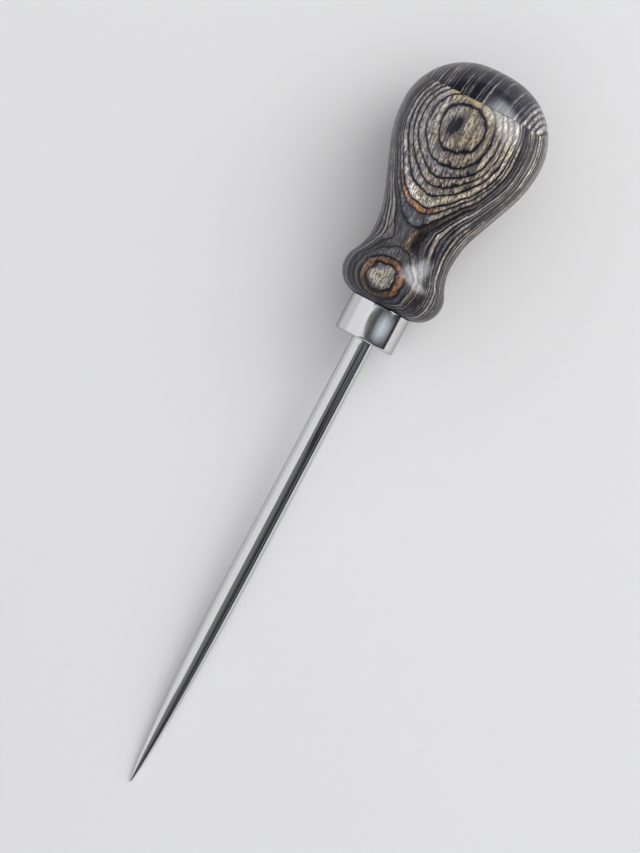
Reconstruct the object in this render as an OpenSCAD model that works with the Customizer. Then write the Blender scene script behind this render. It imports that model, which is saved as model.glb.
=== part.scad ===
// Marking awl: a round steel blade in a turned handle of laminated veneers.
// It lies at rest on the curve of its point and on its bulge, in millimetres, with +Z up and +X towards the point.

/* [Blade] */
// Diameter of the round steel rod
blade_d = 6; // [4:0.1:8]
// Length of blade that shows in front of the ferrule
blade_len = 127; // [90:1:180]
// Length of the curved taper at the working end
point_len = 66; // [30:1:85]
// Slimness of the taper: a low value is blunt, a high one needle-like
point_slimness = 0.66; // [0.5:0.01:0.9]
// Radius left at the very tip
tip_r = 0.1; // [0.05:0.05:0.4]
// Length of the tang inside the handle
tang_len = 36; // [25:1:40]
// Bevel at the end of the tang
tang_bevel = 0.6; // [0.2:0.1:1]

/* [Ferrule] */
// Outside diameter of the ferrule
ferrule_d = 16.2; // [14:0.1:18]
// Length of the ferrule
ferrule_len = 10; // [7:0.5:14]
// Thickness of the wall round the tenon
ferrule_wall = 1.5; // [1:0.1:2]
// Thickness of the end wall, which the blade passes through
ferrule_end = 2; // [1:0.1:4]
// Rounding of the edge that faces the point
ferrule_edge = 0.6; // [0.2:0.1:0.9]
// Bevel on the rim that bears on the handle
ferrule_bevel = 0.2; // [0.1:0.05:0.4]

/* [Handle] */
// Length of the handle from the ferrule's rim to the end of the cap
handle_len = 67; // [60:0.5:80]
// Diameter of the handle at its waist
waist_d = 22.2; // [18:0.2:26]
// Distance of the waist from the ferrule's rim
waist_pos = 16.8; // [15:0.1:19]
// How far the flare in front of the waist stands out past it
flare_lip = 2.8; // [1.5:0.1:4]
// Radius of the flare's round edge
flare_round = 6.5; // [5:0.1:8]
// Diameter of the handle at its widest point
bulge_d = 39.4; // [34:0.2:44]
// Distance of the widest point from the end of the cap
bulge_back = 17.4; // [14:0.1:20]
// Radius of the hollow behind the waist
waist_round = 26; // [15:1:35]
// Radius of the swell in front of the widest point
bulge_round = 32; // [20:1:40]
// Radius of the dome on the end of the cap
dome_round = 40; // [30:1:60]
// Height of the cap
cap_len = 10; // [6:0.5:14]

/* [Veneers] */
// Thickness of one veneer
veneer_t = 1.2; // [0.9:0.1:2]
// Thinnest remnant of a veneer that is left on as a piece of its own
veneer_least = 0.3; // [0.2:0.05:0.5]
// Turn of the body's stack about the axis, in degrees from upright
body_turn = 13; // [-90:1:90]
// Turn of the cap's stack from the body's, in degrees
cap_cross = 90; // [0:1:90]

/* [Fits] */
// Gap round the tang, filled with glue
tang_gap = 0.05; // [0:0.01:0.15]
// Gap round the tenon inside the ferrule
tenon_gap = 0.05; // [0:0.01:0.15]
// Gap left for glue past the ends of the tang and of the tenon
end_gap = 0.3; // [0.1:0.1:1]
// How far the ferrule's rim stands out past the handle's flat face
rim_reveal = 0.6; // [0.3:0.1:1]

/* [Hidden] */
$fn = 96;

// Radii
blade_r = blade_d / 2;
bore_r = blade_r + tang_gap;
ferrule_r = ferrule_d / 2;
socket_r = ferrule_r - ferrule_wall;
tenon_r = socket_r - tenon_gap;
face_r = ferrule_r - rim_reveal;
waist_r = waist_d / 2;
flare_r = waist_r + flare_lip;
bulge_r = bulge_d / 2;

// Places along the axis, from the tip
face_z = blade_len + ferrule_len;
tenon_z = blade_len + ferrule_end + end_gap;
tang_z = face_z + tang_len;
waist_z = face_z + waist_pos;
butt_z = face_z + handle_len;
bulge_z = butt_z - bulge_back;
seam_z = butt_z - cap_len;

// Handle profile, as arcs that meet without a corner. A centre is [radius, place along the axis].
flare_mid_r = flare_r - flare_round;
flare_z = face_z + sqrt(flare_round ^ 2 - max(0, face_r - flare_mid_r) ^ 2);
flare_mid = [flare_mid_r, flare_z];

// The hollow between flare and waist is as round as it takes to touch both
throat_round = touching_sum(waist_z - flare_z, flare_lip) - flare_round;
throat_mid = [waist_r + throat_round, waist_z];
throat_end = between(flare_mid, throat_mid, flare_round / (flare_round + throat_round));

// The hollow behind the waist and the swell before the bulge, joined by a cone where there is room
neck_rise = bulge_r - waist_r;
neck_run = bulge_z - waist_z;
neck_ease = min(1, touching_sum(neck_run, neck_rise) / (waist_round + bulge_round));
hollow_round = waist_round * neck_ease;
swell_round = bulge_round * neck_ease;
neck_sum = hollow_round + swell_round;
neck_reach = norm([neck_run, neck_sum - neck_rise]);
neck_angle = atan2(neck_run, neck_sum - neck_rise) - acos(min(1, neck_sum / neck_reach));
neck_normal = [cos(neck_angle), -sin(neck_angle)];
hollow_mid = [waist_r + hollow_round, waist_z];
swell_mid = [bulge_r - swell_round, bulge_z];
cone_start = hollow_mid - hollow_round * neck_normal;
cone_end = swell_mid + swell_round * neck_normal;

// The shoulder behind the bulge runs smoothly into the dome
dome_mid = [0, butt_z - dome_round];
shoulder_room = 2 * bulge_back * dome_round - bulge_back ^ 2 - bulge_r ^ 2;
shoulder_round = shoulder_room / (2 * (dome_round - bulge_r));
shoulder_mid = [bulge_r - shoulder_round, bulge_z];
dome_angle = atan2(shoulder_mid[0], shoulder_mid[1] - dome_mid[1]);
dome_edge = dome_mid + dome_round * [sin(dome_angle), cos(dome_angle)];
seam_r = shoulder_mid[0] + sqrt(shoulder_round ^ 2 - (seam_z - bulge_z) ^ 2);

// Outline of the point's taper, from the tip
point_steps = 24;
taper = [
    for (step = [0:point_steps])
        let (share = (step / point_steps) ^ 2)
        [point_r(share), share * point_len]
];

// Resting pose: a line that touches the taper and the swell lies on the floor
rest_tilt = min([for (spot = taper) swell_tilt(spot)]);
dome_reach = dome_mid[1] * cos(rest_tilt) + dome_round;
shoulder_reach = shoulder_mid * [sin(rest_tilt), cos(rest_tilt)] + shoulder_round;
butt_reach = rest_tilt < dome_angle ? dome_reach : shoulder_reach;
tip_x = (butt_reach - tip_r * sin(rest_tilt)) / 2;
tip_height = max([for (spot = taper) spot * [cos(rest_tilt), -sin(rest_tilt)]]);

// Veneers are counted outwards from the axis. No colour lies next to itself.
veneer_order = ["charcoal", "grey", "amber", "tan", "grey", "tan", "grey", "tan"];
veneer_reach = 2 * bulge_r;
body_veneer_start = 0;
cap_veneer_start = veneer_t / 2;

// Shades of the dyed veneers and of the polished steel
tan_shade = [0.72, 0.63, 0.5];
grey_shade = [0.5, 0.49, 0.48];
charcoal_shade = [0.16, 0.16, 0.17];
amber_shade = [0.62, 0.4, 0.22];
steel_shade = [0.8, 0.81, 0.83];

// How far an outline's chords may stray from its arcs
chord_error = 0.02;

// Sum of the radii of two arcs that touch, one hollow and one round, whose crests are this far apart
function touching_sum(run, rise) = (run ^ 2 + rise ^ 2) / (2 * rise);

function between(a, b, share) = a + (b - a) * share;

// Points along an arc, the short way round from one point to another, without the last
function arc(mid, r, from, to) =
    let (
        start = bearing(from - mid),
        sweep = (bearing(to - mid) - start + 540) % 360 - 180,
        steps = ceil(abs(sweep) / (2 * acos(1 - chord_error / r)))
    )
    [for (step = [0:steps - 1]) mid + r * heading(start + sweep * step / steps)];

function bearing(way) = atan2(way[1], way[0]);

function heading(angle) = [cos(angle), sin(angle)];

// Tilt of a line from a spot on the blade's outline that touches the swell
function swell_tilt(spot) =
    let (way = swell_mid - spot)
    atan2(way[0], way[1]) + asin(swell_round / norm(way));

// Radius of the blade at a share of the taper's length from the tip
function point_r(share) = tip_r + (blade_r - tip_r) * (1 - (1 - share) ^ 2) ^ point_slimness;

// Colour of a veneer by its count from the axis, which is negative on the far side
function veneer_colour(count) =
    let (order = len(veneer_order))
    veneer_order[(count % order + order) % order];

// Puts the upright awl, point down, into its resting pose
module at_rest() {
    translate([tip_x, 0, tip_height]) rotate([0, rest_tilt - 90, 0]) children();
}

// The body with its tenon in front and the blind bore for the tang
module turned_body() {
    bore_z = tang_z + end_gap;
    rotate_extrude() polygon(concat(
        [[bore_r, tenon_z], [tenon_r, tenon_z], [tenon_r, face_z]],
        arc(flare_mid, flare_round, [face_r, face_z], throat_end),
        arc(throat_mid, throat_round, throat_end, [waist_r, waist_z]),
        arc(hollow_mid, hollow_round, [waist_r, waist_z], cone_start),
        neck_ease < 1 ? [] : [cone_start],
        arc(swell_mid, swell_round, cone_end, [bulge_r, bulge_z]),
        arc(shoulder_mid, shoulder_round, [bulge_r, bulge_z], [seam_r, seam_z]),
        [[seam_r, seam_z], [0, seam_z], [0, bore_z], [bore_r, bore_z]]
    ));
}

module turned_cap() {
    rotate_extrude() polygon(concat(
        [[0, seam_z]],
        arc(shoulder_mid, shoulder_round, [seam_r, seam_z], dome_edge),
        arc(dome_mid, dome_round, dome_edge, [0, butt_z]),
        [[0, butt_z]]
    ));
}

// All the veneers of one colour in a stack that fills a part of this radius
module veneers(colour, turn, start, part_r) {
    last = floor((part_r - veneer_least - start) / veneer_t);
    first = -1 - floor((part_r - veneer_least + start) / veneer_t);
    rotate([0, 0, -turn])
        for (count = [first:last])
            if (veneer_colour(count) == colour) {
                inner = count == first ? -veneer_reach : start + count * veneer_t;
                outer = count == last ? veneer_reach : start + (count + 1) * veneer_t;
                translate([inner, -veneer_reach, 0])
                    cube([outer - inner, 2 * veneer_reach, butt_z + veneer_reach]);
            }
}

module body_veneers(colour, shade) {
    color(shade) at_rest() intersection() {
        turned_body();
        veneers(colour, body_turn, body_veneer_start, bulge_r);
    }
}

module cap_veneers(colour, shade) {
    color(shade) at_rest() intersection() {
        turned_cap();
        veneers(colour, body_turn - cap_cross, cap_veneer_start, seam_r);
    }
}

module blade() {
    tang = [[blade_r, tang_z - tang_bevel], [blade_r - tang_bevel, tang_z], [0, tang_z]];
    color(steel_shade) at_rest() rotate_extrude() polygon(concat([[0, 0]], taper, tang));
}

module ferrule() {
    edge_mid = [ferrule_r - ferrule_edge, blade_len + ferrule_edge];
    socket_z = blade_len + ferrule_end;
    color(steel_shade) at_rest() rotate_extrude() polygon(concat(
        [[bore_r, blade_len]],
        arc(edge_mid, ferrule_edge, [edge_mid[0], blade_len], [ferrule_r, edge_mid[1]]),
        [
            [ferrule_r, edge_mid[1]],
            [ferrule_r, face_z - ferrule_bevel],
            [ferrule_r - ferrule_bevel, face_z],
            [socket_r, face_z],
            [socket_r, socket_z],
            [bore_r, socket_z]
        ]
    ));
}

blade();
ferrule();
body_veneers("tan", tan_shade);  // body_tan_veneers
body_veneers("grey", grey_shade);  // body_grey_veneers
body_veneers("charcoal", charcoal_shade);  // body_charcoal_veneers
body_veneers("amber", amber_shade);  // body_amber_veneers
cap_veneers("tan", tan_shade);  // cap_tan_veneers
cap_veneers("grey", grey_shade);  // cap_grey_veneers
cap_veneers("charcoal", charcoal_shade);  // cap_charcoal_veneers
cap_veneers("amber", amber_shade);  // cap_amber_veneers
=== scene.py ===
"""Looks of the marking awl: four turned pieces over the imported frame, in metres, on a pale studio floor."""

import math

import bpy
from mathutils import Matrix, Vector


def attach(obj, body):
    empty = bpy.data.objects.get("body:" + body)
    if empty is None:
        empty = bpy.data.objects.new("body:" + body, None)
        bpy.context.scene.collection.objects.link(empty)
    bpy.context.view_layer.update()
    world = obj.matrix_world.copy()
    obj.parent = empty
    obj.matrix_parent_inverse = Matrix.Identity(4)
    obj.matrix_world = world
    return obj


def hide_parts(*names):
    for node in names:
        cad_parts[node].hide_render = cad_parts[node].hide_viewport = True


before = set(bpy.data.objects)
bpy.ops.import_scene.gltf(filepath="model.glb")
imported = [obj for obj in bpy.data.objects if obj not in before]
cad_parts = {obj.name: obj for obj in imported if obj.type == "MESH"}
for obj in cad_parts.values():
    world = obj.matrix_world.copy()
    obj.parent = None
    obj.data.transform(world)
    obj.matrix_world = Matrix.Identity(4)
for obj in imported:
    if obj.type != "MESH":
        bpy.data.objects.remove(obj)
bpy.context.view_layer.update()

MM = 0.001

# Sizes of the awl in millimetres, as in the part's source
BLADE_R = 3.0
BLADE_LEN = 127.0
POINT_LEN = 66.0
POINT_SLIMNESS = 0.66
TIP_R = 0.1
TANG_LEN = 36.0
TANG_BEVEL = 0.6
FERRULE_R = 8.1
FERRULE_LEN = 10.0
FERRULE_WALL = 1.5
FERRULE_END = 2.0
FERRULE_EDGE = 0.6
FERRULE_BEVEL = 0.2
HANDLE_LEN = 67.0
WAIST_R = 11.1
WAIST_POS = 16.8
FLARE_LIP = 2.8
FLARE_ROUND = 6.5
BULGE_R = 19.7
BULGE_BACK = 17.4
WAIST_ROUND = 26.0
BULGE_ROUND = 32.0
DOME_ROUND = 40.0
CAP_LEN = 10.0
VENEER_T = 1.2
BODY_TURN = 13.0
CAP_CROSS = 90.0
TANG_GAP = 0.05
TENON_GAP = 0.05
END_GAP = 0.3
RIM_REVEAL = 0.6
SEAM_EASE = 0.07

# Fineness of the turned meshes
TURN_STEPS = 224
POINT_STEPS = 48
SHANK_STEPS = 40
WALL_STEPS = 12
CONE_STEPS = 12
ARC_STEP = math.radians(2.0)
SHARP = math.radians(24)
SAME_POINT = 1e-6

# Places along the axis, from the tip
FACE_Z = BLADE_LEN + FERRULE_LEN
TENON_Z = BLADE_LEN + FERRULE_END + END_GAP
TANG_Z = FACE_Z + TANG_LEN
BORE_Z = TANG_Z + END_GAP
WAIST_Z = FACE_Z + WAIST_POS
BUTT_Z = FACE_Z + HANDLE_LEN
BULGE_Z = BUTT_Z - BULGE_BACK
SEAM_Z = BUTT_Z - CAP_LEN
BORE_R = BLADE_R + TANG_GAP
SOCKET_R = FERRULE_R - FERRULE_WALL
TENON_R = SOCKET_R - TENON_GAP
FACE_R = FERRULE_R - RIM_REVEAL
FLARE_R = WAIST_R + FLARE_LIP


def touching_sum(run, rise):
    """Sum of the radii of a hollow and a round arc that touch, with their crests this far apart."""
    return (run**2 + rise**2) / (2 * rise)


# Centres of the handle's arcs, as (radius, place along the axis)
FLARE_MID = Vector((FLARE_R - FLARE_ROUND, 0))
FLARE_MID.y = FACE_Z + math.sqrt(FLARE_ROUND**2 - max(0, FACE_R - FLARE_MID.x) ** 2)
THROAT_ROUND = touching_sum(WAIST_Z - FLARE_MID.y, FLARE_LIP) - FLARE_ROUND
THROAT_MID = Vector((WAIST_R + THROAT_ROUND, WAIST_Z))
THROAT_END = FLARE_MID.lerp(THROAT_MID, FLARE_ROUND / (FLARE_ROUND + THROAT_ROUND))

NECK_RISE = BULGE_R - WAIST_R
NECK_RUN = BULGE_Z - WAIST_Z
NECK_SUM = WAIST_ROUND + BULGE_ROUND
NECK_REACH = math.hypot(NECK_RUN, NECK_SUM - NECK_RISE)
NECK_ANGLE = math.atan2(NECK_RUN, NECK_SUM - NECK_RISE) - math.acos(NECK_SUM / NECK_REACH)
NECK_NORMAL = Vector((math.cos(NECK_ANGLE), -math.sin(NECK_ANGLE)))
HOLLOW_MID = Vector((WAIST_R + WAIST_ROUND, WAIST_Z))
SWELL_MID = Vector((BULGE_R - BULGE_ROUND, BULGE_Z))
CONE_START = HOLLOW_MID - WAIST_ROUND * NECK_NORMAL
CONE_END = SWELL_MID + BULGE_ROUND * NECK_NORMAL

DOME_MID = Vector((0, BUTT_Z - DOME_ROUND))
SHOULDER_ROOM = 2 * BULGE_BACK * DOME_ROUND - BULGE_BACK**2 - BULGE_R**2
SHOULDER_ROUND = SHOULDER_ROOM / (2 * (DOME_ROUND - BULGE_R))
SHOULDER_MID = Vector((BULGE_R - SHOULDER_ROUND, BULGE_Z))
DOME_ANGLE = math.atan2(SHOULDER_MID.x, SHOULDER_MID.y - DOME_MID.y)
DOME_EDGE = DOME_MID + DOME_ROUND * Vector((math.sin(DOME_ANGLE), math.cos(DOME_ANGLE)))

# Outline of the point's taper, from the tip
TAPER = []
for step in range(POINT_STEPS + 1):
    share = (step / POINT_STEPS) ** 2
    slim = (1 - (1 - share) ** 2) ** POINT_SLIMNESS
    TAPER.append(Vector((TIP_R + (BLADE_R - TIP_R) * slim, share * POINT_LEN)))


def swell_tilt(spot):
    """Tilt of a line from a spot on the blade's outline that touches the swell."""
    way = SWELL_MID - spot
    return math.atan2(way.x, way.y) + math.asin(BULGE_ROUND / way.length)


# Resting pose: the awl lies on the curve of its point and on its swell
REST_TILT = min(swell_tilt(spot) for spot in TAPER)
DOME_REACH = DOME_MID.y * math.cos(REST_TILT) + DOME_ROUND
TIP_X = (DOME_REACH - TIP_R * math.sin(REST_TILT)) / 2
TIP_HEIGHT = max(spot.x * math.cos(REST_TILT) - spot.y * math.sin(REST_TILT) for spot in TAPER)
TIP = Vector((TIP_X, 0, TIP_HEIGHT)) * MM
AXIS = Vector((-math.cos(REST_TILT), 0, math.sin(REST_TILT)))
ACROSS = Vector((0, 1, 0))
UPWARD = Vector((math.sin(REST_TILT), 0, math.cos(REST_TILT)))


def shoulder_r(z):
    """Radius of the shoulder at a place along the axis."""
    return SHOULDER_MID.x + math.sqrt(SHOULDER_ROUND**2 - (z - BULGE_Z) ** 2)


def arc(mid, r, start, end):
    """Points on an arc, the short way round, both ends among them."""
    first = math.atan2(start[1] - mid[1], start[0] - mid[0])
    sweep = math.atan2(end[1] - mid[1], end[0] - mid[0]) - first
    sweep = (sweep + math.pi) % math.tau - math.pi
    steps = max(2, math.ceil(abs(sweep) / ARC_STEP))
    angles = [first + sweep * step / steps for step in range(steps + 1)]
    return [(mid[0] + r * math.cos(a), mid[1] + r * math.sin(a)) for a in angles]


def spread(start, end, steps):
    """Evenly spaced points between two points, without the first."""
    return [
        (start[0] + (end[0] - start[0]) * k / steps, start[1] + (end[1] - start[1]) * k / steps)
        for k in range(1, steps + 1)
    ]


def chain(*runs):
    """One outline from several, without points that repeat."""
    points = []
    for run in runs:
        for p in run:
            if not points or math.dist(points[-1], p) > SAME_POINT:
                points.append(tuple(p))
    return points


def turned(name, outline, closed=False):
    """A solid of revolution from an outline of (radius, place along the axis), in its resting pose."""
    verts, rings = [], []
    for r, z in outline:
        middle = TIP + AXIS * z * MM
        if r == 0:
            rings.append([len(verts)])
            verts.append(middle)
            continue
        rings.append(range(len(verts), len(verts) + TURN_STEPS))
        for step in range(TURN_STEPS):
            angle = math.tau * step / TURN_STEPS
            verts.append(middle + (UPWARD * math.cos(angle) + ACROSS * math.sin(angle)) * r * MM)
    pairs = list(zip(rings, rings[1:]))
    if closed:
        pairs.append((rings[-1], rings[0]))
    faces = []
    for low, high in pairs:
        for step in range(TURN_STEPS):
            after = (step + 1) % TURN_STEPS
            if len(low) == 1:
                faces.append((low[0], high[after], high[step]))
            elif len(high) == 1:
                faces.append((low[step], low[after], high[0]))
            else:
                faces.append((low[step], low[after], high[after], high[step]))
    mesh = bpy.data.meshes.new(name)
    mesh.from_pydata(verts, [], faces)
    mesh.polygons.foreach_set("use_smooth", [True] * len(faces))
    mesh.set_sharp_from_angle(angle=SHARP)
    mesh.update()
    piece = bpy.data.objects.new(name, mesh)
    bpy.context.scene.collection.objects.link(piece)
    return piece


def blade_outline():
    """The point, the parallel rod and the tang, which ends in a bevel."""
    shank = spread(TAPER[-1], (BLADE_R, TANG_Z - TANG_BEVEL), SHANK_STEPS)
    return chain([(0, 0)], TAPER, shank, [(BLADE_R - TANG_BEVEL, TANG_Z), (0, TANG_Z)])


def ferrule_outline():
    """A cup with a rounded front edge and a bevelled rim, open at the bore."""
    socket_z = BLADE_LEN + FERRULE_END
    edge = (FERRULE_R - FERRULE_EDGE, BLADE_LEN + FERRULE_EDGE)
    rim = (FERRULE_R - FERRULE_BEVEL, FACE_Z - FERRULE_BEVEL)
    wall_end = (FERRULE_R, rim[1])
    return chain(
        [(BORE_R, BLADE_LEN)],
        arc(edge, FERRULE_EDGE, (edge[0], BLADE_LEN), (FERRULE_R, edge[1])),
        spread((FERRULE_R, edge[1]), wall_end, WALL_STEPS),
        arc(rim, FERRULE_BEVEL, wall_end, (rim[0], FACE_Z)),
        [(SOCKET_R, FACE_Z), (SOCKET_R, socket_z), (BORE_R, socket_z)],
    )


def body_outline():
    """The blind bore, the tenon, the flare, the waist and the swell, up to the cap's joint."""
    seam_r = shoulder_r(SEAM_Z)
    seam_start = (shoulder_r(SEAM_Z - SEAM_EASE), SEAM_Z - SEAM_EASE)
    return chain(
        [(0, BORE_Z), (BORE_R, BORE_Z), (BORE_R, TENON_Z), (TENON_R, TENON_Z), (TENON_R, FACE_Z)],
        arc(FLARE_MID, FLARE_ROUND, (FACE_R, FACE_Z), THROAT_END),
        arc(THROAT_MID, THROAT_ROUND, THROAT_END, (WAIST_R, WAIST_Z)),
        arc(HOLLOW_MID, WAIST_ROUND, (WAIST_R, WAIST_Z), CONE_START),
        spread(CONE_START, CONE_END, CONE_STEPS),
        arc(SWELL_MID, BULGE_ROUND, CONE_END, (BULGE_R, BULGE_Z)),
        arc(SHOULDER_MID, SHOULDER_ROUND, (BULGE_R, BULGE_Z), seam_start),
        [(seam_r - SEAM_EASE, SEAM_Z), (0, SEAM_Z)],
    )


def cap_outline():
    """The rest of the shoulder and the dome of the butt."""
    seam_r = shoulder_r(SEAM_Z)
    seam_end = (shoulder_r(SEAM_Z + SEAM_EASE), SEAM_Z + SEAM_EASE)
    return chain(
        [(0, SEAM_Z), (seam_r - SEAM_EASE, SEAM_Z)],
        arc(SHOULDER_MID, SHOULDER_ROUND, seam_end, DOME_EDGE),
        arc(DOME_MID, DOME_ROUND, DOME_EDGE, (0, BUTT_Z))[:-1],
        [(0, BUTT_Z)],
    )


class Graph:
    """Builds the nodes of one tree. A value is a number, a tuple or the output of another node."""

    COLOUR_A, COLOUR_B, COLOUR_OUT = 6, 7, 2

    def __init__(self, tree):
        self.tree = tree

    def put(self, socket, value):
        """Links a socket to an output, or sets its own value."""
        if isinstance(value, bpy.types.NodeSocket):
            self.tree.links.new(value, socket)
        elif isinstance(value, tuple) and len(value) == 3 and len(socket.default_value) == 4:
            socket.default_value = (*value, 1)
        else:
            socket.default_value = value

    def node(self, kind, *values, **settings):
        """A new node with its first sockets filled in order."""
        made = self.tree.nodes.new("ShaderNode" + kind)
        for key, value in settings.items():
            setattr(made, key, value)
        for socket, value in zip(made.inputs, values):
            self.put(socket, value)
        return made

    def math(self, operation, *values):
        """Result of one sum on one to three values."""
        return self.node("Math", *values, operation=operation).outputs[0]

    def times(self, product, *others):
        """Product of several values."""
        for other in others:
            product = self.math("MULTIPLY", product, other)
        return product

    def ramp(self, value, low, high, to_low=0.0, to_high=1.0, kind="LINEAR"):
        """An even slope from to_low, where value is low, to to_high, where it is high."""
        return self.node("MapRange", value, low, high, to_low, to_high, interpolation_type=kind).outputs[0]

    def step(self, value, low, high, to_low=0.0, to_high=1.0):
        """A smooth step from to_low, where value is low, to to_high, where it is high."""
        return self.ramp(value, low, high, to_low, to_high, "SMOOTHSTEP")

    def window(self, value, start, full, fading, end, peak=1.0):
        """A smooth rise from 0 to the peak and, further on, a smooth fall back to 0."""
        return self.times(self.step(value, start, full, 0.0, peak), self.step(value, fading, end, 1.0, 0.0))

    def near(self, value, middle, full, end, peak=1.0):
        """The peak close to a middle value, and smoothly down to 0 away from it."""
        off = self.math("ABSOLUTE", self.math("SUBTRACT", value, middle))
        return self.step(off, full, end, peak, 0.0)

    def curve(self, value, points, smooth=True):
        """A curve through points, for a value of 0 to 1."""
        made = self.node("FloatCurve")
        spots = made.mapping.curves[0].points
        spots[0].location = points[0]
        spots[-1].location = points[-1]
        for spot in points[1:-1]:
            spots.new(*spot)
        for spot in spots:
            spot.handle_type = "AUTO" if smooth else "VECTOR"
        made.mapping.update()
        self.put(made.inputs["Value"], value)
        return made.outputs[0]

    def noise(self, vector, waves, detail=2.0, roughness=0.5):
        """Noise of about 0 to 1, with this many waves in a millimetre along each of the three ways."""
        made = self.node("TexNoise")
        scaled = self.node("VectorMath", vector, waves, operation="MULTIPLY").outputs[0]
        self.put(made.inputs["Vector"], scaled)
        made.inputs["Scale"].default_value = 1.0
        made.inputs["Detail"].default_value = detail
        made.inputs["Roughness"].default_value = roughness
        return made.outputs[0]

    def mix(self, share, low, high, blend="MIX"):
        """Two colours mixed: the first where share is 0, the second where it is 1."""
        made = self.node("Mix", data_type="RGBA", blend_type=blend)
        self.put(made.inputs[0], share)
        self.put(made.inputs[self.COLOUR_A], low)
        self.put(made.inputs[self.COLOUR_B], high)
        return made.outputs[self.COLOUR_OUT]

    def filtered(self, colour, red, green, blue):
        """A colour with its three parts multiplied."""
        return self.mix(1.0, colour, self.node("CombineColor", red, green, blue).outputs[0], "MULTIPLY")


class Paint(Graph):
    """One material, with its nodes round a single shader."""

    def __init__(self, name):
        self.material = bpy.data.materials.new(name)
        self.material.use_nodes = True
        super().__init__(self.material.node_tree)
        self.shader = self.tree.nodes["Principled BSDF"]

    def lay(self, first, second):
        """Place on the awl in millimetres: along the first way, the second, and the axis from the tip."""
        made = self.node("Mapping", vector_type="TEXTURE")
        self.put(made.inputs["Vector"], self.node("TexCoord").outputs["Object"])
        made.inputs["Location"].default_value = TIP
        made.inputs["Rotation"].default_value = Matrix((first, second, AXIS)).transposed().to_euler()
        made.inputs["Scale"].default_value = (MM, MM, MM)
        return made.outputs[0]

    def bump(self, height, strength, depth):
        """A normal that follows a height of 0 to 1, this many millimetres deep."""
        made = self.node("Bump")
        made.inputs["Strength"].default_value = strength
        made.inputs["Distance"].default_value = depth * MM
        self.put(made.inputs["Height"], height)
        return made.outputs[0]

    def surface(self, **values):
        """Fills the shader's sockets by name."""
        for name, value in values.items():
            self.put(self.shader.inputs[name.replace("_", " ")], value)


# Shades of the dyed veneers, as linear colours
SHADES = {
    "tan": (0.51, 0.452, 0.372),
    "straw": (0.67, 0.605, 0.50),
    "buff": (0.44, 0.402, 0.36),
    "amber": (0.37, 0.20, 0.098),
    "umber": (0.060, 0.043, 0.030),
    "grey": (0.105, 0.102, 0.103),
    "slate": (0.18, 0.18, 0.193),
    "black": (0.016, 0.015, 0.015),
}
INK_SHADE = (0.040, 0.040, 0.052)
GLUE_SHADE = (0.007, 0.0075, 0.017)
CORE_SHADE = (0.012, 0.012, 0.021)
STAIN_SHADE = (0.50, 0.41, 0.17)
# Lavender-grey of a pale patch on the flare: partly lighter wood, partly a painted highlight
PALE_AND_HIGHLIGHT_SHADE = (0.36, 0.355, 0.37)

# Lacquer over the wood
COAT = 0.4
COAT_ROUGHNESS = 0.09
LACQUER_IOR = 1.5
WOOD_SPECULAR = 0.1
WOOD_RELIEF = 0.05
PORE_DEPTH = 0.03

# Veneers from the top of the stack down: shade to the left, shade to the right, and the level of the
# lower face above the axis in millimetres
STACK_TOP = 20.5
STACK_SPAN = 2 * STACK_TOP
BODY_STACK = [
    ("tan", "tan", 19.0),
    ("tan", "straw", 17.8),
    ("buff", "straw", 16.7),
    ("tan", "tan", 15.75),
    ("buff", "tan", 14.6),
    ("straw", "straw", 13.12),
    ("amber", "straw", 12.41),
    ("slate", "buff", 11.35),
    ("grey", "umber", 10.35),
    ("slate", "grey", 9.3),
    ("grey", "straw", 8.25),
    ("tan", "black", 7.75),
    ("buff", "straw", 7.2),
    ("slate", "slate", 6.05),
    ("tan", "straw", 4.7),
    ("slate", "buff", 3.3),
    ("buff", "slate", 2.2),
    ("straw", "tan", 1.0),
    ("grey", "buff", -0.2),
    ("black", "slate", -1.4),
    ("straw", "straw", -2.6),
    ("grey", "slate", -3.8),
    ("tan", "tan", -5.0),
    ("black", "black", -6.2),
    ("slate", "slate", -7.4),
    ("tan", "tan", -8.7),
    ("grey", "grey", -10.1),
    ("amber", "amber", -11.6),
    ("tan", "tan", -13.1),
    ("black", "black", -14.8),
    ("straw", "straw", -16.7),
    ("tan", "tan", -STACK_TOP),
]
LEFT, RIGHT = 0, 1
AMBER_SHEET = 6
SADDLE_SHEET = 8

# The cap's veneers have one shade from side to side
CAP_STACK = [
    ("tan", 17.2),
    ("straw", 16.1),
    ("tan", 15.0),
    ("tan", 13.8),
    ("straw", 12.6),
    ("buff", 11.4),
    ("black", 10.3),
    ("buff", 9.2),
    ("grey", 7.95),
    ("amber", 7.2),
    ("black", 6.0),
    ("slate", 4.9),
    ("grey", 3.3),
    ("tan", 2.3),
    ("black", 1.3),
    ("slate", 0.3),
    ("black", -0.4),
    ("amber", -1.0),
    ("grey", -2.3),
    ("buff", -3.2),
    ("black", -4.4),
    ("tan", -5.3),
    ("black", -6.2),
    ("slate", -7.2),
    ("grey", -8.3),
    ("straw", -9.1),
    ("black", -10.1),
    ("buff", -11.2),
    ("tan", -12.2),
    ("black", -13.2),
    ("slate", -14.6),
    ("tan", -STACK_TOP),
]

# How far the sheets waver in millimetres: in broad waves, in small ones and at their ragged edges
BROAD_WAVE = 1.1
SMALL_WAVE = 0.4
RAGGED_WAVE = 0.2

# How far the body's sheets arch, by place along the axis, all in millimetres
ARCH = [
    (137, 1.2), (138.4, 1.0), (140.05, 0.34), (141.8, -0.05), (143.75, -0.2), (145.6, 0.08), (147.45, 0.56),
    (149.1, 0.6), (150.5, 0.52), (152, 0.38), (155, -0.12), (158, 0.0), (204, 0.0),
]
ARCH_LOW = -0.3
ARCH_HIGH = 1.3

# Below, a name that ends in ALONG is a stretch from the tip along the axis, one in ACROSS a stretch to the
# right of it and one in LEVEL a stretch above it, all in millimetres. Something changes smoothly over it.
# With four numbers, it begins over the first two and ends over the last two.

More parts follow.
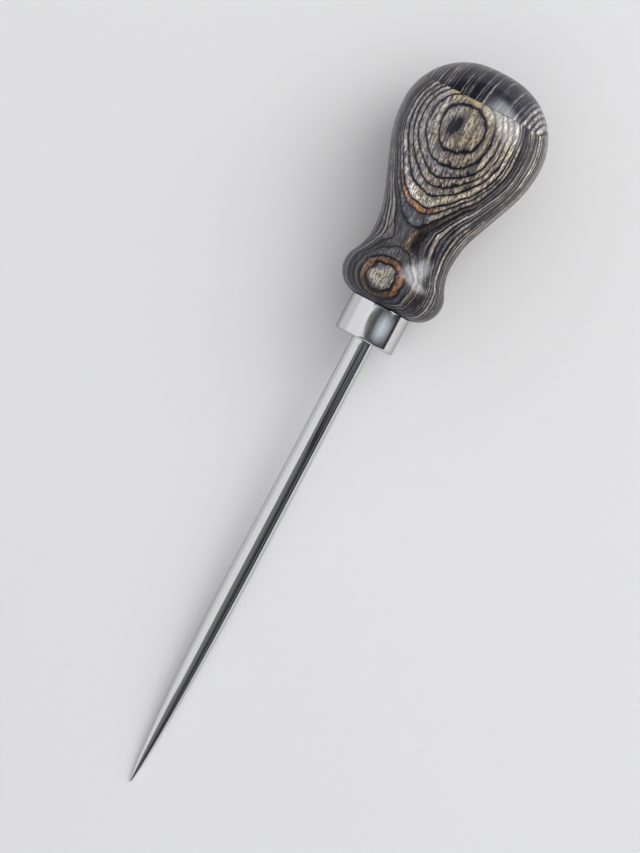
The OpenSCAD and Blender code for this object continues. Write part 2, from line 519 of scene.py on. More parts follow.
# Tilts and dips of the sheets
SWELL_TILT = 0.5
SWELL_TILT_ALONG = (166.0, 178.0)
SWELL_TILT_ACROSS = (-9.0, 9.0)
EDGE_DIP = 0.9
EDGE_DIP_ALONG = (176.0, 190.0)
EDGE_DIP_ACROSS = (13.0, 16.0)
FLARE_TILT = -0.054
FLARE_TILT_ALONG = (149.0, 154.0)
CROOK_DIP = 0.65
CROOK_ALONG = (153.0, 161.0, 164.0, 172.0)
CROOK_ACROSS = (0.0, 6.5)

# The bound between the left-hand and the right-hand dye, which leaves the flare and then leans to the right
BOUND_ALONG = (150.0, 152.5)
BOUND_SIDES = (20.0, 1.75)
BOUND_LEAN_Z = 158.0
BOUND_LEAN = 0.35
BOUND_WANDER = 2.0
BOUND_BLUR = (-0.3, 0.3)

# The amber sheet's end, the saddle's blots and amber streak beside the bound, a pale patch that is partly a
# painted highlight, and a painted dark reflection
AMBER_END_ALONG = (173.0, 176.0)
AMBER_END_WANDER = 9.0
BLOT_PAST_BOUND = (0.2, 0.8)
STREAK_PAST_BOUND = -0.25
STREAK_HALF = (0.15, 0.5)
STREAK_ALONG = (152.0, 153.0, 157.0, 159.0)
PALE_AND_HIGHLIGHT_ALONG = (150.0, 153.0)
PALE_AND_HIGHLIGHT_ACROSS = (2.5, 5.0)
PALE_AND_HIGHLIGHT_LEVEL = (6.5, 8.5, 11.3, 11.9)
# A dark spot on the flare, which is a painted reflection
PAINTED_REFLECTION_Z = 142.9
PAINTED_REFLECTION_SIDE = 8.6
PAINTED_REFLECTION_HALF_LONG = (1.1, 1.8)
PAINTED_REFLECTION_HALF_WIDE = (0.8, 1.3)

# Edge grain gives way to flat grain at one level on the flare, at another past it and at a third on the cap.
# A surface that runs along a sheet counts as cutting it at the least slope.
GRAIN_ALONG = (148.0, 153.0)
FLARE_GRAIN_LEVEL = (10.4, 12.3)
WAIST_GRAIN_LEVEL = (9.5, 11.5)
CAP_GRAIN_LEVEL = (12.0, 13.0)
LEAST_SLOPE_SQUARED = 0.02

# Darker and paler areas, among them painted shade on the flare's nose by the ferrule, and the threads' dull
# and strong sides
NOSE_PAINTED_SHADE_ALONG = (139.0, 142.0)
FLARE_DARK_ALONG = (150.0, 154.0)
LEFT_PALE_ACROSS = (-8.0, 4.0)
EDGE_PALE_ACROSS = (9.0, 12.0)
NECK_PALE = 0.22
NECK_PALE_ALONG = (155.0, 158.0, 167.0, 174.0)
CAP_SIDE_DARK = 0.62
WARM_ACROSS = (-9.0, 9.0)
DULL_ACROSS = (-3.0, 5.0)
THREADS_ALONG = (156.0, 170.0)
THREADS_ACROSS = (8.5, 11.0)

# Dye soaked in beside the cap, the joint's yellow stain, the dark core with its fan, and the ferrule's joint
SOAK_ALONG = (181.0, 188.0)
SOAK_ACROSS = (-8.0, -12.0)
STAIN_ALONG = (SEAM_Z - 0.2, SEAM_Z + 1.2)
STAIN_WANDER = 4.0
STAIN_LEFT_ACROSS = (-9.0, -4.0)
STAIN_RIGHT_ACROSS = (7.5, 4.5)
CORE_Z = 185.8
CORE_SIDE = -0.6
CORE_LEAN = math.radians(15)
CORE_HALF_LONG = 3.0
CORE_HALF_WIDE = 1.6
FAN_Z = 186.0
FAN_ANGLES = (-0.35, 0.0, 0.7, 1.0)
FAN_LEVEL = (14.0, 14.6)
CROWN_LEVEL = (17.4, 18.6)
FERRULE_JOINT_ALONG = (FACE_Z + 0.12, FACE_Z + 0.5)


class Lamination(Paint):
    """Glossy wood of dyed veneers, which lie across one way, run along the axis and waver a little."""

    def __init__(self, name, turn, stack, on_body):
        super().__init__(name)
        self.stack = stack
        self.on_body = on_body
        angle = math.radians(turn)
        out = UPWARD * math.cos(angle) - ACROSS * math.sin(angle)
        wide = UPWARD * math.sin(angle) + ACROSS * math.cos(angle)
        self.place = self.lay(out, wide)
        height, self.width, self.along = self.node("SeparateXYZ", self.place).outputs
        self.small = self.noise(self.place, (0.15, 0.40, 0.30))
        self.level = self.math("ADD", height, self.lift())
        self.sheet, self.depth = self.counted()

        # How steeply the surface cuts the sheets, and 1 at the sides, where it shows their edges
        normal = self.node("NewGeometry").outputs["Normal"]
        facing = self.node("VectorMath", normal, tuple(out), operation="DOT_PRODUCT").outputs["Value"]
        squared = self.math("SUBTRACT", 1.0, self.times(facing, facing))
        self.slope = self.math("SQRT", self.math("MAXIMUM", squared, LEAST_SLOPE_SQUARED))
        self.side = self.side_grain()

        # Grain: long streaks, fine lines within a sheet, flecks, pores, grit and cloudy dye
        self.leaf = self.node("CombineXYZ", self.level, self.width, self.along).outputs[0]
        self.streak = self.noise(self.place, (0.5, 1.7, 0.07), 3.0, 0.6)
        self.line = self.noise(self.leaf, (1.7, 0.10, 0.035), 2.0, 0.55)
        self.fleck = self.noise(self.place, (1.0, 1.45, 0.45), 2.0, 0.6)
        self.pore = self.noise(self.place, (1.6, 1.9, 0.65), 1.0, 0.6)
        self.grit = self.noise(self.place, (2.4, 2.5, 1.0), 0.0)
        self.cloud = self.noise(self.place, (0.25, 0.22, 0.14))

    def lift(self):
        """How far the sheets waver: in broad waves, in small ones and with a ragged edge along the grain."""
        broad = self.noise(self.place, (0.05, 0.13, 0.09))
        ragged = self.noise(self.place, (0.6, 2.2, 0.6), 2.0, 0.6)
        middle = (BROAD_WAVE + SMALL_WAVE + RAGGED_WAVE) / 2
        lift = self.math("MULTIPLY_ADD", broad, BROAD_WAVE, -middle)
        lift = self.math("MULTIPLY_ADD", self.small, SMALL_WAVE, lift)
        lift = self.math("MULTIPLY_ADD", ragged, RAGGED_WAVE, lift)
        return self.arched(lift) if self.on_body else lift

    def arched(self, lift):
        """The lift of the body's sheets, which also arch, tilt, and dip on the right."""
        start, end = ARCH[0][0], ARCH[-1][0]
        span = ARCH_HIGH - ARCH_LOW
        spots = [((z - start) / (end - start), (rise - ARCH_LOW) / span) for z, rise in ARCH]
        arch = self.curve(self.ramp(self.along, start, end), spots)
        lift = self.math("ADD", lift, self.ramp(arch, 0.0, 1.0, ARCH_LOW, ARCH_HIGH))
        tilt = self.step(self.width, *SWELL_TILT_ACROSS, -SWELL_TILT, SWELL_TILT)
        lift = self.math("MULTIPLY_ADD", tilt, self.step(self.along, *SWELL_TILT_ALONG), lift)
        dip = self.step(self.width, *EDGE_DIP_ACROSS, 0.0, -EDGE_DIP)
        lift = self.math("MULTIPLY_ADD", dip, self.step(self.along, *EDGE_DIP_ALONG), lift)
        tilt = self.step(self.along, *FLARE_TILT_ALONG, FLARE_TILT, 0.0)
        lift = self.math("MULTIPLY_ADD", self.width, tilt, lift)
        crook = self.step(self.width, *CROOK_ACROSS, 0.0, -CROOK_DIP)
        return self.math("MULTIPLY_ADD", crook, self.window(self.along, *CROOK_ALONG), lift)

    def counted(self):
        """Count of the veneer from the top, and how far into that veneer the surface is, from 0 to 1."""
        sheets = len(self.stack)
        faces = [(0.0, 0.0)]
        for number, (left, right, low) in enumerate(self.stack, 1):
            faces.append(((STACK_TOP - low) / STACK_SPAN, number / sheets))
        fall = self.ramp(self.level, STACK_TOP, STACK_TOP - STACK_SPAN)
        count = self.times(self.curve(fall, faces, smooth=False), sheets)
        sheet = self.math("FLOOR", count)
        return sheet, self.math("SUBTRACT", count, sheet)

    def side_grain(self):
        """1 at the sides, where the sheets show their edges, and 0 on the crown."""
        if not self.on_body:
            return self.step(self.level, *CAP_GRAIN_LEVEL, 1.0, 0.0)
        low, high = [
            self.step(self.along, *GRAIN_ALONG, flare, waist)
            for flare, waist in zip(FLARE_GRAIN_LEVEL, WAIST_GRAIN_LEVEL)
        ]
        return self.step(self.level, low, high, 1.0, 0.0)

    def sheet_shades(self, column):
        """One even shade for each veneer, from one column of the stack."""
        shades = [SHADES[row[column]] for row in self.stack]
        ramp = self.node("ValToRGB", self.math("DIVIDE", self.math("ADD", self.sheet, 0.5), len(shades)))
        ramp.color_ramp.interpolation = "CONSTANT"
        stops = ramp.color_ramp.elements
        while len(stops) < len(shades):
            stops.new(len(stops) / len(shades))
        for number, shade in enumerate(shades):
            stops[number].position = number / len(shades)
            stops[number].color = (*shade, 1)
        return ramp.outputs[0]

    def is_sheet(self, number):
        """1 on one veneer, counted from the top, and 0 on all others."""
        return self.math("COMPARE", self.sheet, number, 0.5)

    def dyed(self):
        """Colour of the veneers before any grain, and on the flare a partly painted highlight and a painted
        reflection.
        """
        colour = self.sheet_shades(LEFT)
        if not self.on_body:
            return colour

        # Dye differs from left to right past the flare
        leant = self.math("MAXIMUM", self.math("SUBTRACT", self.along, BOUND_LEAN_Z), 0.0)
        bound = self.ramp(self.along, *BOUND_ALONG, *BOUND_SIDES)
        bound = self.math("MULTIPLY_ADD", leant, BOUND_LEAN, bound)
        beyond = self.math("SUBTRACT", self.width, bound)
        wander = self.math("SUBTRACT", self.small, 0.5)
        beyond = self.math("MULTIPLY_ADD", wander, BOUND_WANDER, beyond)
        colour = self.mix(self.step(beyond, *BOUND_BLUR), colour, self.sheet_shades(RIGHT))

        # The amber sheet pales towards the swell
        wandering = self.math("MULTIPLY_ADD", self.small, AMBER_END_WANDER, self.along)
        faded = self.times(self.is_sheet(AMBER_SHEET), self.step(wandering, *AMBER_END_ALONG))
        colour = self.mix(faded, colour, SHADES["buff"])

        # Mottled dye and an amber streak along the saddle
        saddle = self.is_sheet(SADDLE_SHEET)
        mottle = self.step(self.noise(self.place, (0.7, 0.9, 0.5)), 0.44, 0.56, 0.9, 0.0)
        blot = self.times(saddle, self.step(beyond, *BLOT_PAST_BOUND), mottle)
        colour = self.mix(blot, colour, SHADES["black"])
        beside = self.near(beyond, STREAK_PAST_BOUND, *STREAK_HALF, 0.8)
        streak = self.times(saddle, beside, self.window(self.along, *STREAK_ALONG))
        colour = self.mix(streak, colour, SHADES["amber"])

        # A pale patch to the right on the flare, partly lighter wood and partly a painted highlight, and one
        # painted dark reflection
        pale_and_highlight = self.times(
            self.step(self.width, *PALE_AND_HIGHLIGHT_ACROSS, 0.0, 0.6),
            self.step(self.along, *PALE_AND_HIGHLIGHT_ALONG, 1.0, 0.0),
            self.window(self.level, *PALE_AND_HIGHLIGHT_LEVEL),
        )
        colour = self.mix(pale_and_highlight, colour, PALE_AND_HIGHLIGHT_SHADE)
        # A painted dark reflection on the flare
        spot = self.near(self.along, PAINTED_REFLECTION_Z, *PAINTED_REFLECTION_HALF_LONG, 0.95)
        spot = self.times(spot, self.near(self.width, PAINTED_REFLECTION_SIDE, *PAINTED_REFLECTION_HALF_WIDE))
        return self.mix(spot, colour, SHADES["black"])

    def grained(self, colour):
        """Colour with edge grain at the sides, flat grain on the crown, warm and cool areas and specks."""
        tone = self.times(
            self.step(self.streak, 0.36, 0.62, 0.74, 1.12),
            self.step(self.cloud, 0.3, 0.7, 0.88, 1.1),
            self.step(self.fleck, 0.36, 0.62, 1.2, 0.68),
            self.step(self.grit, 0.48, 0.68, 1.14, 0.42),
            self.step(self.streak, 0.36, 0.41, 0.42, 1.0),
            self.math("MULTIPLY_ADD", self.side, self.step(self.line, 0.43, 0.57, -0.8, 0.48), 1.0),
        )
        if self.on_body:
            neck = self.times(
                self.window(self.along, *NECK_PALE_ALONG, NECK_PALE),
                self.math("SUBTRACT", 1.0, self.side),
            )
            tone = self.times(
                tone,
                self.step(self.along, *FLARE_DARK_ALONG, 0.72, 1.0),
                # Painted shade on the flare's nose, which faces away from the light
                self.step(self.along, *NOSE_PAINTED_SHADE_ALONG, 0.62, 1.0),
                self.step(self.width, *LEFT_PALE_ACROSS, 1.27, 0.93),
                self.step(self.width, *EDGE_PALE_ACROSS, 1.0, 1.35),
                self.math("ADD", neck, 1.0),
            )
        else:
            tone = self.times(tone, self.math("MULTIPLY_ADD", self.side, -CAP_SIDE_DARK, 1.0))

        tint = self.step(self.width, *WARM_ACROSS, -0.17, 0.18)
        tint = self.math("ADD", tint, self.noise(self.place, (0.2, 0.3, 0.14)))
        red = self.times(tone, self.step(tint, 0.35, 0.65, 0.97, 1.06))
        blue = self.times(tone, self.step(tint, 0.35, 0.65, 1.10, 0.88))
        colour = self.filtered(colour, red, tone, blue)

        vein = self.near(self.noise(self.place, (0.25, 0.62, 0.035), 1.0), 0.5, 0.02, 0.06, 0.8)
        speck = self.math("MAXIMUM", self.step(self.pore, 0.585, 0.64, 0.0, 0.8), vein)
        return self.mix(speck, colour, self.mix(0.2, INK_SHADE, colour))

    def threaded(self, colour):
        """Colour with pale and dark threads along the sheets, wherever these are cut at a slope."""
        cut = self.times(self.side, self.step(self.slope, 0.28, 0.55))
        if self.on_body:
            thread = self.noise(self.leaf, (1.6, 0.05, 0.03), 1.0)
            dark = self.step(thread, 0.46, 0.40, 0.0, 0.85)
            dull = self.mix(self.step(self.width, *DULL_ACROSS), SHADES["slate"], SHADES["buff"])
            ruddy = self.noise(self.leaf, (0.9, 0.05, 0.03), 1.0)
            showing = self.step(self.along, *THREADS_ALONG, 0.58, 0.8)
            showing = self.math("MAXIMUM", showing, self.step(self.width, *THREADS_ACROSS, 0.0, 0.85))
        else:
            thread = self.noise(self.leaf, (2.0, 0.03, 0.05), 1.0)
            dark = self.step(thread, 0.52, 0.47, 0.0, 0.92)
            dull = SHADES["slate"]
            ruddy = self.noise(self.place, (0.5, 0.16, 0.2), 2.0, 0.6)
            showing = self.step(ruddy, 0.40, 0.56, 0.28, 0.7)
        shade = self.noise(self.leaf, (1.1, 0.08, 0.04), 1.0)
        pale = self.mix(self.step(shade, 0.42, 0.60), dull, SHADES["straw"])
        pale = self.mix(self.step(ruddy, 0.57, 0.63, 0.0, 0.7), pale, SHADES["amber"])
        colour = self.mix(self.times(self.step(thread, 0.51, 0.58), cut, showing), colour, pale)
        return self.mix(self.times(dark, cut), colour, GLUE_SHADE)

    def marked(self, colour):
        """The body's colour with what is on it in one place only."""
        # Dye soaked in on the left beside the cap
        soak = self.times(
            self.step(self.width, *SOAK_ACROSS),
            self.step(self.along, *SOAK_ALONG),
            self.step(self.line, 0.42, 0.56, 0.92, 0.25),
        )
        colour = self.mix(soak, colour, GLUE_SHADE)

        # A yellow stain along the cap's joint
        patches = self.noise(self.place, (0.4, 0.45, 0.4))
        stain = self.times(
            self.step(self.math("MULTIPLY_ADD", self.cloud, STAIN_WANDER, self.along), *STAIN_ALONG),
            self.step(self.width, *STAIN_RIGHT_ACROSS),
            self.step(patches, 0.44, 0.58, 0.25, 1.2),
            self.step(self.width, *STAIN_LEFT_ACROSS, 0.15, 0.5),
        )
        colour = self.mix(stain, colour, STAIN_SHADE)

        # The last shaving of a dark sheet on the crown of the swell, a lens that leans
        ahead = self.math("SUBTRACT", self.along, CORE_Z)
        beside = self.math("SUBTRACT", self.width, CORE_SIDE)
        lens = 0.0
        for way, other, lean, half in (
            (ahead, beside, math.tan(CORE_LEAN), CORE_HALF_LONG),
            (beside, ahead, -math.tan(CORE_LEAN), CORE_HALF_WIDE),
        ):
            off = self.math("MULTIPLY_ADD", other, lean, way)
            off = self.math("DIVIDE", off, half / math.cos(CORE_LEAN))
            lens = self.math("MULTIPLY_ADD", off, off, lens)
        for grain, ragged in ((self.streak, 1.8), (self.fleck, 1.4)):
            lens = self.math("MULTIPLY_ADD", self.math("SUBTRACT", grain, 0.5), ragged, lens)
        colour = self.mix(self.step(lens, 0.9, 3.6, 0.7, 0.0), colour, SHADES["grey"])
        colour = self.mix(self.step(lens, 0.55, 1.35, 0.97, 0.0), colour, CORE_SHADE)

        # Dark joint with the ferrule
        return self.mix(self.step(self.along, *FERRULE_JOINT_ALONG, 1.0, 0.0), colour, GLUE_SHADE)

    def dashes(self):
        """Short dark dashes that fan out from the crown towards the lower glue lines."""
        beside = self.math("SUBTRACT", self.width, CORE_SIDE)
        fan = self.math("ARCTAN2", beside, self.math("SUBTRACT", FAN_Z, self.along))
        spokes = self.noise(self.node("CombineXYZ", fan, self.level, 0.0).outputs[0], (16.0, 0.8, 1.0), 1.0)
        return self.times(
            self.step(spokes, 0.56, 0.61, 0.0, 0.85),
            self.step(self.depth, 0.2, 0.7),
            self.window(fan, *FAN_ANGLES),
            self.step(self.level, *FAN_LEVEL),
        )

    def glued(self, colour):
        """Colour with glue lines, about as wide wherever they are cut, and with dye bled in beside them."""
        inside = self.math("MINIMUM", self.depth, self.math("SUBTRACT", 1.0, self.depth))
        edge = self.times(
            self.math("DIVIDE", self.times(inside, VENEER_T), self.slope),
            self.step(self.noise(self.place, (0.8, 0.3, 0.2)), 0.3, 0.7, 1.25, 0.65),
            self.math("MULTIPLY_ADD", self.side, 0.15, 1.0),
            self.step(self.grit, 0.3, 0.7, 0.8, 1.25),
        )
        if self.on_body:
            edge = self.times(edge, self.step(self.level, *CROWN_LEVEL, 1.0, 0.86))
        bleed = self.step(edge, 0.2, 0.95, 0.5, 1.0)
        if self.on_body:
            bleed = self.times(bleed, self.math("SUBTRACT", 1.0, self.dashes()))
        colour = self.filtered(colour, bleed, bleed, self.math("POWER", bleed, 0.86))
        return self.mix(self.step(edge, 0.19, 0.33, 1.0, 0.0), colour, GLUE_SHADE)

    def lacquered(self, colour):
        """Lacquer over the colour, which leaves out the joint with the ferrule."""
        self.surface(
            Base_Color=colour,
            Roughness=self.step(self.streak, 0.2, 0.8, 0.34, 0.46),
            IOR=LACQUER_IOR,
            Specular_IOR_Level=WOOD_SPECULAR,
            Normal=self.bump(self.pore, WOOD_RELIEF, PORE_DEPTH),
            Coat_Weight=self.step(self.along, *FERRULE_JOINT_ALONG, 0.0, COAT) if self.on_body else COAT,
            Coat_Roughness=COAT_ROUGHNESS,
            Coat_IOR=LACQUER_IOR,
        )


def veneer_wood(name, turn, stack, on_body):
    """Material of one laminated blank, with its stack turned this many degrees about the axis."""
    wood = Lamination(name, turn, stack, on_body)
    colour = wood.threaded(wood.grained(wood.dyed()))
    if on_body:
        colour = wood.marked(colour)
    wood.lacquered(wood.glued(colour))
    return wood.material


STEEL_EDGE_TINT = (0.6, 0.57, 0.54)
STEEL_RELIEF = 0.03
POLISH_DEPTH = 0.02


def steel(name, shade, along_waves, round_waves):
    """Polished steel with fine polishing lines, so many in a millimetre along the axis and round it."""
    paint = Paint(name)
    place = paint.lay(UPWARD, ACROSS)
    lines = paint.noise(place, (round_waves, round_waves, along_waves), 3.0, 0.6)
    smear = paint.noise(place, (0.2, 0.2, 0.06))
    rough = paint.step(lines, 0.3, 0.7, 0.05, 0.09)
    rough = paint.math("ADD", rough, paint.step(smear, 0.35, 0.7, 0.0, 0.04))
    paint.surface(
        Base_Color=shade,
        Metallic=1.0,
        Roughness=rough,
        Specular_Tint=STEEL_EDGE_TINT,
        Normal=paint.bump(lines, STEEL_RELIEF, POLISH_DEPTH),
    )
    return paint.material


blade = turned("awl_blade", blade_outline())
ferrule = turned("awl_ferrule", ferrule_outline(), closed=True)
body = turned("handle_body", body_outline())
cap = turned("handle_cap", cap_outline())

cap_rows = [(shade, shade, low) for shade, low in CAP_STACK]
blade.data.materials.append(steel("blade_polish", (0.66, 0.66, 0.67), along_waves=0.08, round_waves=5.0))
ferrule.data.materials.append(steel("ferrule_polish", (0.68, 0.68, 0.69), along_waves=5.0, round_waves=0.1))
body.data.materials.append(veneer_wood("body_lamination", BODY_TURN, BODY_STACK, on_body=True))
cap.data.materials.append(veneer_wood("cap_lamination", BODY_TURN - CAP_CROSS, cap_rows, on_body=False))

VENEER_KINDS = ("tan", "grey", "charcoal", "amber")
for piece, slot, nodes in (
    (blade, "blade_steel", ["blade"]),
    (ferrule, "ferrule_steel", ["ferrule"]),
    (body, "tan_veneer", [f"body_{kind}_veneers" for kind in VENEER_KINDS]),
    (cap, "tan_veneer", [f"cap_{kind}_veneers" for kind in VENEER_KINDS]),
):
    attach(piece, "root")
    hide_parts(*nodes)


def sheet_mesh(name, corners, material):
    """A flat or bent sheet of the studio, from rows of corners."""
    across = len(corners[0])
    verts = [p for row in corners for p in row]
    faces = [
        (r * across + c, r * across + c + 1, (r + 1) * across + c + 1, (r + 1) * across + c)
        for r in range(len(corners) - 1)
        for c in range(across - 1)
    ]
    mesh = bpy.data.meshes.new(name)
    mesh.from_pydata(verts, [], faces)
    mesh.materials.append(material)
    made = bpy.data.objects.new(name, mesh)
    bpy.context.scene.collection.objects.link(made)
    return made


# The photograph's view: square to the awl's axis from above, with the middle of the picture in its pixels
# from the tip and to the right of the axis
PHOTO_H = 853
PIXEL = 0.255 * MM
AXIS_LEAN = math.radians(27.867)
CENTRE_FROM_TIP = 402.4
CENTRE_RIGHT = 2.0
CAMERA_AWAY = 2.2
SENSOR = 36.0
TARGET = TIP + AXIS * CENTRE_FROM_TIP * PIXEL + ACROSS * CENTRE_RIGHT * PIXEL

# Pale floor
FLOOR_HALF = 12.0
FLOOR_SHADE = (0.80, 0.80, 0.80)
FLOOR_ENDS = (-FLOOR_HALF, FLOOR_HALF)
floor_paint = Paint("floor_paint")
floor_paint.surface(Base_Color=FLOOR_SHADE, Roughness=0.7, Specular_IOR_Level=0.15)
sheet_mesh("floor", [[(x, y, 0) for x in FLOOR_ENDS] for y in FLOOR_ENDS], floor_paint.material)


def studio(along, out, side):
    """A place in the studio in metres: along the axis from the picture's middle, above it, and right of it."""
    return TARGET + AXIS * along + UPWARD * out + ACROSS * side


def heading(azimuth, elevation):
    """The way to a place seen from the awl, from its angles in degrees."""
    a, e = math.radians(azimuth), math.radians(elevation)
    return Vector((math.cos(a) * math.cos(e), math.sin(a) * math.cos(e), math.sin(e)))


# A card brighter than this also counts as a lamp
LAMP_LEVEL = 2


def card(name, rows, level, tint, across, lengthwise=None, mottle=0.0):
    """A card that glows in reflections only.

    Its level follows one curve from its first row to its last, another from end to end, and may be mottled.
    """
    paint = Paint(name)
    spot = paint.node("UVMap").outputs[0]
    rise, run = paint.node("SeparateXYZ", spot).outputs[:2]
    glow = paint.times(level, paint.curve(rise, across))
    if lengthwise:
        glow = paint.times(glow, paint.curve(run, lengthwise))
    if mottle:
        clouds = paint.noise(spot, (9.0, 5.0, 1.0), 2.0, 0.6)
        glow = paint.times(glow, paint.step(clouds, 0.3, 0.7, 1.0 - mottle, 1.0 + mottle))
    paint.surface(Base_Color=(0.0, 0.0, 0.0), Specular_IOR_Level=0.0)
    paint.surface(Emission_Color=tint, Emission_Strength=glow)
    paint.material.cycles.emission_sampling = "AUTO" if level > LAMP_LEVEL else "NONE"
    made = sheet_mesh(name, rows, paint.material)
    layer = made.data.uv_layers.new(name="share")
    ends = len(rows[0])
    for loop in made.data.loops:
        row, end = divmod(loop.vertex_index, ends)
        layer.data[loop.index].uv = (row / (len(rows) - 1), end / (ends - 1))
    made.visible_camera = False
    made.visible_diffuse = False
    made.visible_shadow = False
    made.visible_transmission = False


def bent_rows(places, away, steps=16):
    """Rows of a card bent round the awl.

    Each place is (metres along the awl, first angle, last angle), with the angles from straight above it.
    """
    rows = []
    for k in range(steps + 1):
        row = []
        for along, first, last in places:
            angle = math.radians(first + (last - first) * k / steps)
            row.append(studio(along, away * math.cos(angle), away * math.sin(angle)))
        rows.append(row)
    return rows


def opposite(z, away):
    """The place along a bent card that a spot of the straight blade or ferrule mirrors to the camera."""
    return (z - CENTRE_FROM_TIP * PIXEL / MM) * MM * (1 + away / CAMERA_AWAY)


def mirrored_rows(start, end, away, first, last):
    """Rows of a bent card that the steel mirrors between two places, in millimetres from the tip."""
    return bent_rows([(opposite(z, away), first, last) for z in (start, end)], away)


def flat_rows(way, distance, width, height):
    """Rows of a flat card that faces the awl from one way."""
    side = Vector((0, 0, 1)).cross(way).normalized()
    half_wide = side * width / 2
    half_high = way.cross(side) * height / 2
    return [[way * distance + half_wide * u + half_high * v for u in (-1, 1)] for v in (-1, 1)]


# Curves of the cards' levels, from 0 at one edge to 1 at the other
EVEN = [(0.0, 1.0), (1.0, 1.0)]
HUMP = [(0.0, 0.0), (0.25, 0.45), (0.5, 1.0), (0.75, 0.45), (1.0, 0.0)]
PLATEAU = [(0.0, 0.0), (0.12, 0.2), (0.35, 1.0), (0.65, 1.0), (0.88, 0.2), (1.0, 0.0)]
OVERHEAD = [(0.0, 0.21), (0.30, 0.21), (0.40, 0.17), (0.49, 0.08), (0.58, 0.05), (0.75, 0.045), (1.0, 0.06)]
DUSK = [(0.0, 0.30), (0.35, 0.20), (0.7, 0.12), (1.0, 0.09)]
GLOW = [(0.0, 0.12), (0.1, 0.4), (0.28, 0.8), (0.42, 1.0), (0.6, 0.78), (0.8, 0.55), (1.0, 0.15)]
GLOW_RUN = [(0.0, 0.12), (0.15, 0.32), (0.32, 0.9), (0.55, 1.0), (0.74, 0.7), (0.86, 0.22), (1.0, 0.14)]
SHANK_RUN = [(0.0, 0.0), (0.6, 0.8), (1.0, 1.0)]

# Tints of the cards
NEUTRAL = (1.0, 1.0, 1.0)
WARM = (1.0, 0.985, 0.97)
WHITE = (0.98, 0.98, 1.0)
DAYLIGHT = (0.96, 0.97, 1.0)
BLUE = (0.84, 0.91, 1.0)
DEEP_BLUE = (0.72, 0.83, 1.0)

# Flags, which are dark over the right-hand side, paler overhead, and past the butt
FLAG_R = 2.0
FLAG_BACK = 1.8
FLAG_FRONT = -3.4
FLAG_ANGLES = (-28, 95)
FLAG_STEPS = 30
FLAG_FOOT = -0.2
flag_rows = bent_rows([(along, *FLAG_ANGLES) for along in (FLAG_FRONT, FLAG_BACK)], FLAG_R, FLAG_STEPS)
card("flag", flag_rows, level=1.0, tint=WARM, across=OVERHEAD)
end_rows = [[studio(FLAG_BACK, out, side) for side in (-FLAG_R, FLAG_R)] for out in (FLAG_FOOT, FLAG_R)]
card("end_flag", end_rows, level=0.02, tint=NEUTRAL, across=EVEN)

# A white edge beside the flag along the blade
white_rows = mirrored_rows(start=-10.0, end=126.4, away=0.56, first=-34, last=-15)
card("blade_white", white_rows, level=1.0, tint=WHITE, across=EVEN)

# One that bows at the ferrule, with dark beside it: places from the tip, and the angles where one ends
NEAR_R = 0.1
BOW_FIRST = -36
BOW_LAST = 7
BOW = [
    (126.6, -4), (127.4, -4), (128.2, -9), (129.2, -14.5), (130.5, -19), (132.0, -22), (133.4, -22.5),
    (134.6, -20), (135.6, -16), (136.4, -10), (137.0, -4),
]
bow = [(opposite(z, NEAR_R), angle) for z, angle in BOW]
bow_white = bent_rows([(along, BOW_FIRST, angle) for along, angle in bow], NEAR_R)
bow_dark = bent_rows([(along, angle, BOW_LAST) for along, angle in bow], NEAR_R)
card("bow_white", bow_white, level=1.0, tint=WHITE, across=EVEN)
card("bow_dark", bow_dark, level=1.0, tint=NEUTRAL, across=DUSK)

# Blue-grey glow on the ferrule, a fainter one on the shank, and a thin line down the blade
glow_rows = mirrored_rows(start=126.9, end=137.2, away=NEAR_R, first=BOW_LAST, last=75)
card("ferrule_card", glow_rows, level=0.95, tint=BLUE, across=GLOW, lengthwise=GLOW_RUN, mottle=0.2)
shank_rows = mirrored_rows(start=96.0, end=126.8, away=0.5, first=14, last=66)
card("shank_card", shank_rows, level=0.2, tint=BLUE, across=HUMP, lengthwise=SHANK_RUN)
strip_rows = mirrored_rows(start=-10.0, end=126.8, away=0.49, first=54, last=76)
card("blade_strip", strip_rows, level=0.26, tint=DEEP_BLUE, across=HUMP)

# The window's glow on the lacquer
window_rows = flat_rows(heading(139, 35), distance=1.3, width=2.3, height=1.3)
card("window_card", window_rows, level=13.8, tint=DAYLIGHT, across=PLATEAU, lengthwise=PLATEAU)


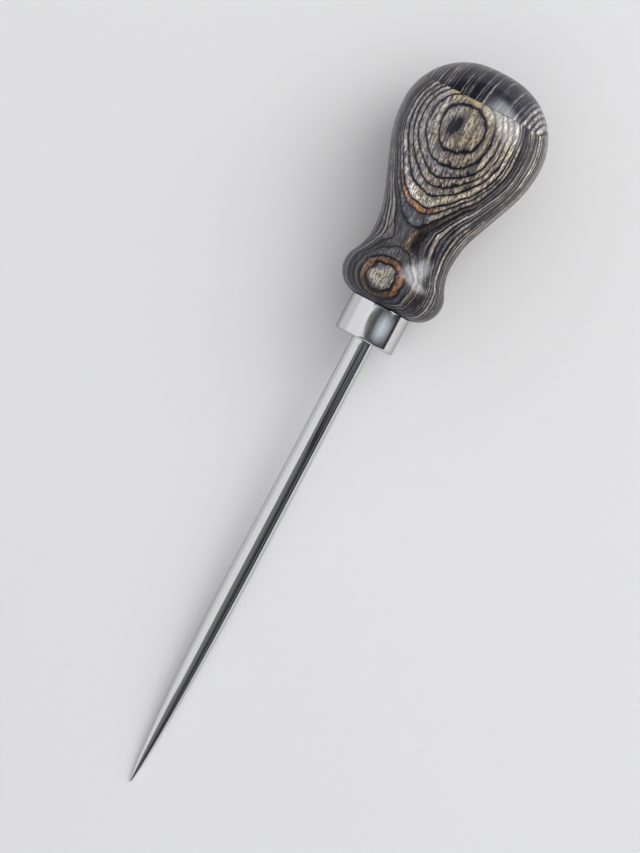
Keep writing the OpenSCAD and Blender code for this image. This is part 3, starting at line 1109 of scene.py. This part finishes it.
def lamp(name, way, distance, width, height, level):
    """A soft rectangular lamp that faces the awl, glows evenly at this level and shows in no reflection."""
    light = bpy.data.lights.new(name, "AREA")
    light.shape = "RECTANGLE"
    light.size = width
    light.size_y = height
    light.energy = level * math.pi * width * height
    made = bpy.data.objects.new(name, light)
    made.location = way * distance
    made.rotation_mode = "QUATERNION"
    made.rotation_quaternion = way.to_track_quat("Z", "Y")
    made.visible_camera = False
    made.visible_glossy = False
    bpy.context.scene.collection.objects.link(made)


lamp("key", heading(148, 36), distance=1.3, width=0.9, height=0.7, level=1.9)
lamp("top_light", heading(130, 62), distance=1.4, width=1.2, height=1.0, level=0.95)

# Studio surroundings: soft light from all round, pale to the eye and in reflections
SKY_TINT = (0.98, 0.98, 1.0)
SKY_LIGHT = 0.68
SKY_LOW = 0.74
SKY_HIGH = 0.96
SKY_HIGH_FROM = 0.3
world = bpy.data.worlds.new("studio")
world.use_nodes = True
bpy.context.scene.world = world
sky = Graph(world.node_tree)
paths = sky.node("LightPath").outputs
seen = sky.math("MAXIMUM", paths["Is Camera Ray"], paths["Is Glossy Ray"])
seen = sky.math("MAXIMUM", seen, paths["Is Transmission Ray"])
upward = sky.node("SeparateXYZ", sky.node("TexCoord").outputs["Generated"]).outputs["Z"]
shown = sky.step(upward, 0.0, SKY_HIGH_FROM, SKY_LOW, SKY_HIGH)
backdrop = world.node_tree.nodes["Background"]
sky.put(backdrop.inputs["Color"], SKY_TINT)
sky.put(backdrop.inputs["Strength"], sky.ramp(seen, 0.0, 1.0, SKY_LIGHT, shown))

# Camera
right = AXIS * math.sin(AXIS_LEAN) + ACROSS * math.cos(AXIS_LEAN)
up = AXIS * math.cos(AXIS_LEAN) - ACROSS * math.sin(AXIS_LEAN)
camera_data = bpy.data.cameras.new("camera")
camera_data.sensor_width = SENSOR
camera_data.lens = SENSOR * CAMERA_AWAY / (PHOTO_H * PIXEL)
camera = bpy.data.objects.new("camera", camera_data)
camera_turn = Matrix((right, up, UPWARD)).transposed().to_4x4()
camera.matrix_world = Matrix.Translation(TARGET + UPWARD * CAMERA_AWAY) @ camera_turn
bpy.context.scene.collection.objects.link(camera)
bpy.context.scene.camera = camera
bpy.context.scene.view_settings.view_transform = "Standard"
